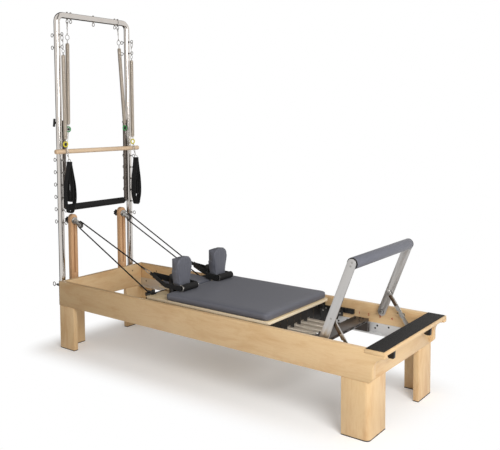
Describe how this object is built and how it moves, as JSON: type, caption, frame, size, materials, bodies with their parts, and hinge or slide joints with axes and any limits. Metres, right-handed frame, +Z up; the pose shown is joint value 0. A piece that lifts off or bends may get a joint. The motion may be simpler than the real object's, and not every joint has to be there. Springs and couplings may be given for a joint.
{
  "type": "pilates reformer",
  "caption": "Wooden pilates reformer with a sprung sliding carriage, padded shoulder rests, footbar and a tube tower with hanging springs, bars and loops.",
  "frame": {"origin": "middle of the bounding box on the floor", "axes": "+X to the foot end, +Y to the far side, +Z up"},
  "size_m": [2.3473, 0.7, 2.085],
  "materials": {
    "rail_near": "clear-lacquered hard maple",
    "rail_far": "clear-lacquered hard maple",
    "head_board": "clear-lacquered hard maple",
    "end_board": "clear-lacquered hard maple",
    "leg_head_near": "clear-lacquered hard maple",
    "leg_head_far": "clear-lacquered hard maple",
    "leg_foot_near": "clear-lacquered hard maple",
    "leg_foot_far": "clear-lacquered hard maple",
    "platform": "clear-lacquered hard maple",
    "platform_grip": "black ribbed grip sheet",
    "track_near": "extruded aluminium",
    "track_far": "extruded aluminium",
    "tower_socket_near": "black powder coat",
    "tower_socket_far": "black powder coat",
    "tower_frame": "chromed steel tube",
    "riser_near": "clear-lacquered hard maple",
    "riser_far": "clear-lacquered hard maple",
    "rope_near": "black braided cord",
    "rope_far": "black braided cord",
    "roll_down_spring_near": "nickel-plated spring wire",
    "roll_down_spring_far": "nickel-plated spring wire",
    "carriage_board": "birch plywood",
    "carriage_pad": "grey upholstery vinyl over foam",
    "carriage_frame": "black powder coat",
    "shoulder_post_near": "black powder coat",
    "shoulder_post_far": "black powder coat",
    "shoulder_pad_near": "grey upholstery vinyl over foam",
    "shoulder_pad_far": "grey upholstery vinyl over foam",
    "handle_near": "black webbing with a foam grip",
    "handle_far": "black webbing with a foam grip",
    "headrest_board": "birch plywood",
    "headrest_pad": "grey upholstery vinyl over foam",
    "spring_bar": "dark brown coated steel",
    "carriage_spring_1": "nickel-plated spring wire",
    "carriage_spring_2": "nickel-plated spring wire",
    "carriage_spring_3": "nickel-plated spring wire",
    "carriage_spring_4": "nickel-plated spring wire",
    "carriage_spring_5": "nickel-plated spring wire",
    "footbar": "satin aluminium arms and tube",
    "footbar_pad": "grey upholstery vinyl over foam",
    "push_bar": "chromed steel tube",
    "push_bar_foam": "black closed-cell foam",
    "roll_down_bar": "clear-lacquered dowel with steel eyes",
    "t_pin": "black T handle",
    "wheel_head_near": "black urethane",
    "wheel_head_far": "black urethane",
    "wheel_foot_near": "black urethane",
    "wheel_foot_far": "black urethane",
    "strut_near": "plated steel strut",
    "strut_far": "plated steel strut",
    "socket_pin_near": "zinc-plated pull pin",
    "pulley_carrier_near": "black clamp with a plastic knob",
    "sheave_near": "black nylon",
    "leg_spring_near": "nickel-plated spring wire",
    "leg_loops_near": "black webbing loops",
    "socket_pin_far": "zinc-plated pull pin",
    "pulley_carrier_far": "black clamp with a plastic knob",
    "sheave_far": "black nylon",
    "leg_spring_far": "nickel-plated spring wire",
    "leg_loops_far": "black webbing loops"
  },
  "bodies": {
    "frame": {"rail_near": "rail_near", "rail_far": "rail_far", "head_board": "head_board", "end_board": "end_board", "leg_head_near": "leg_head_near", "leg_head_far": "leg_head_far", "leg_foot_near": "leg_foot_near", "leg_foot_far": "leg_foot_far", "platform": "platform", "platform_grip": "platform_grip", "track_near": "track_near", "track_far": "track_far", "tower_socket_near": "tower_socket_near", "tower_socket_far": "tower_socket_far", "tower_frame": "tower_frame", "riser_near": "riser_near", "riser_far": "riser_far", "rope_near": "rope_near", "rope_far": "rope_far", "roll_down_spring_near": "roll_down_spring_near", "roll_down_spring_far": "roll_down_spring_far"},
    "carriage": {"carriage_board": "carriage_board", "carriage_pad": "carriage_pad", "carriage_frame": "carriage_frame", "shoulder_post_near": "shoulder_post_near", "shoulder_post_far": "shoulder_post_far", "shoulder_pad_near": "shoulder_pad_near", "shoulder_pad_far": "shoulder_pad_far", "handle_near": "handle_near", "handle_far": "handle_far"},
    "headrest": {"headrest_board": "headrest_board", "headrest_pad": "headrest_pad"},
    "spring_bar": {"spring_bar": "spring_bar", "carriage_spring_1": "carriage_spring_1", "carriage_spring_2": "carriage_spring_2", "carriage_spring_3": "carriage_spring_3", "carriage_spring_4": "carriage_spring_4", "carriage_spring_5": "carriage_spring_5"},
    "footbar": {"footbar": "footbar", "footbar_pad": "footbar_pad"},
    "push_bar": {"push_bar": "push_bar", "push_bar_foam": "push_bar_foam"},
    "roll_down": {"roll_down_bar": "roll_down_bar"},
    "t_pin": {"t_pin": "t_pin"},
    "wheel_head_near": {"wheel_head_near": "wheel_head_near"},
    "wheel_head_far": {"wheel_head_far": "wheel_head_far"},
    "wheel_foot_near": {"wheel_foot_near": "wheel_foot_near"},
    "wheel_foot_far": {"wheel_foot_far": "wheel_foot_far"},
    "strut_near": {"strut_near": "strut_near"},
    "strut_far": {"strut_far": "strut_far"},
    "socket_pin_near": {"socket_pin_near": "socket_pin_near"},
    "pulley_near": {"pulley_carrier_near": "pulley_carrier_near"},
    "sheave_near": {"sheave_near": "sheave_near"},
    "leg_spring_near": {"leg_spring_near": "leg_spring_near"},
    "leg_loops_near": {"leg_loops_near": "leg_loops_near"},
    "socket_pin_far": {"socket_pin_far": "socket_pin_far"},
    "pulley_far": {"pulley_carrier_far": "pulley_carrier_far"},
    "sheave_far": {"sheave_far": "sheave_far"},
    "leg_spring_far": {"leg_spring_far": "leg_spring_far"},
    "leg_loops_far": {"leg_loops_far": "leg_loops_far"}
  },
  "joints": [
    {"name": "carriage_slide", "type": "slide", "parent": "frame", "child": "carriage", "axis": [1, 0, 0], "range_m": [-0.53, 0], "stiffness_N_per_m": 500, "springref_m": 0.04, "deforming": ["carriage_spring_1", "carriage_spring_2", "carriage_spring_3", "carriage_spring_4", "carriage_spring_5", "rope_near", "rope_far"]},
    {"name": "wheel_head_near_spin", "type": "hinge", "parent": "carriage", "child": "wheel_head_near", "pos_m": [-0.231, 0, 0.2873], "axis": [0, 1, 0], "range_deg": [-1460, 0]},
    {"name": "wheel_head_far_spin", "type": "hinge", "parent": "carriage", "child": "wheel_head_far", "pos_m": [-0.231, 0, 0.2873], "axis": [0, 1, 0], "range_deg": [-1460, 0]},
    {"name": "wheel_foot_near_spin", "type": "hinge", "parent": "carriage", "child": "wheel_foot_near", "pos_m": [0.469, 0, 0.2873], "axis": [0, 1, 0], "range_deg": [-1460, 0]},
    {"name": "wheel_foot_far_spin", "type": "hinge", "parent": "carriage", "child": "wheel_foot_far", "pos_m": [0.469, 0, 0.2873], "axis": [0, 1, 0], "range_deg": [-1460, 0]},
    {"name": "headrest_hinge", "type": "hinge", "parent": "carriage", "child": "headrest", "pos_m": [-0.179, 0, 0.4255], "axis": [0, 1, 0], "range_deg": [0, 35], "deforming": ["handle_near", "handle_far"]},
    {"name": "spring_bar_slide", "type": "slide", "parent": "frame", "child": "spring_bar", "axis": [1, 0, 0], "range_m": [-0.032, 0.16], "deforming": ["carriage_spring_1", "carriage_spring_2", "carriage_spring_3", "carriage_spring_4", "carriage_spring_5"]},
    {"name": "footbar_hinge", "type": "hinge", "parent": "frame", "child": "footbar", "pos_m": [0.836, 0, 0.39], "axis": [0, 1, 0], "range_deg": [-20, 45]},
    {"name": "strut_near_hinge", "type": "hinge", "parent": "footbar", "child": "strut_near", "pos_m": [0.87781, 0, 0.50842], "axis": [0, 1, 0], "range_deg": [-45, 20]},
    {"name": "strut_far_hinge", "type": "hinge", "parent": "footbar", "child": "strut_far", "pos_m": [0.87781, 0, 0.50842], "axis": [0, 1, 0], "range_deg": [-45, 20]},
    {"name": "push_bar_hinge", "type": "hinge", "parent": "frame", "child": "push_bar", "pos_m": [-1.077, 0, 1.395], "axis": [0, 1, 0], "range_deg": [0, 150]},
    {"name": "roll_down_slide", "type": "slide", "parent": "frame", "child": "roll_down", "axis": [0.72, 0, -0.694], "range_m": [0, 0.4], "stiffness_N_per_m": 160, "springref_m": -0.06, "deforming": ["roll_down_spring_near", "roll_down_spring_far", "leg_loops_near", "leg_loops_far", "leg_spring_near", "leg_spring_far"]},
    {"name": "t_pin_slide", "type": "slide", "parent": "frame", "child": "t_pin", "axis": [-1, 0, 0], "range_m": [0, 0.012], "stiffness_N_per_m": 400, "springref_m": -0.004},
    {"name": "socket_pin_near_slide", "type": "slide", "parent": "frame", "child": "socket_pin_near", "axis": [-1, 0, 0], "range_m": [0, 0.01], "stiffness_N_per_m": 400, "springref_m": -0.004},
    {"name": "pulley_near_slide", "type": "slide", "parent": "frame", "child": "pulley_near", "axis": [0, 0, 1], "range_m": [-0.3, 0], "deforming": ["rope_near"]},
    {"name": "sheave_near_spin", "type": "hinge", "parent": "pulley_near", "child": "sheave_near", "pos_m": [-0.995, 0, 0.753], "axis": [0, 1, 0], "continuous": true},
    {"name": "leg_spring_near_swing", "type": "hinge", "parent": "frame", "child": "leg_spring_near", "pos_m": [-1.029, 0, 1.9255], "axis": [0, 1, 0], "range_deg": [-60, 0]},
    {"name": "leg_loops_near_slide", "type": "slide", "parent": "leg_spring_near", "child": "leg_loops_near", "axis": [0, 0, -1], "range_m": [0, 0.35], "stiffness_N_per_m": 120, "springref_m": -0.05, "deforming": ["leg_spring_near"]},
    {"name": "socket_pin_far_slide", "type": "slide", "parent": "frame", "child": "socket_pin_far", "axis": [-1, 0, 0], "range_m": [0, 0.01], "stiffness_N_per_m": 400, "springref_m": -0.004},
    {"name": "pulley_far_slide", "type": "slide", "parent": "frame", "child": "pulley_far", "axis": [0, 0, 1], "range_m": [-0.3, 0], "deforming": ["rope_far"]},
    {"name": "sheave_far_spin", "type": "hinge", "parent": "pulley_far", "child": "sheave_far", "pos_m": [-0.995, 0, 0.753], "axis": [0, 1, 0], "continuous": true},
    {"name": "leg_spring_far_swing", "type": "hinge", "parent": "frame", "child": "leg_spring_far", "pos_m": [-1.029, 0, 1.9255], "axis": [0, 1, 0], "range_deg": [-60, 0]},
    {"name": "leg_loops_far_slide", "type": "slide", "parent": "leg_spring_far", "child": "leg_loops_far", "axis": [0, 0, -1], "range_m": [0, 0.35], "stiffness_N_per_m": 120, "springref_m": -0.05, "deforming": ["leg_spring_far"]}
  ],
  "couplings": [
    {"joint": "wheel_head_near_spin", "follows": "carriage_slide", "rad_per_m": 47.619},
    {"joint": "wheel_head_far_spin", "follows": "carriage_slide", "rad_per_m": 47.619},
    {"joint": "wheel_foot_near_spin", "follows": "carriage_slide", "rad_per_m": 47.619},
    {"joint": "wheel_foot_far_spin", "follows": "carriage_slide", "rad_per_m": 47.619},
    {"joint": "strut_near_hinge", "follows": "footbar_hinge", "ratio": -1},
    {"joint": "strut_far_hinge", "follows": "footbar_hinge", "ratio": -1}
  ]
}
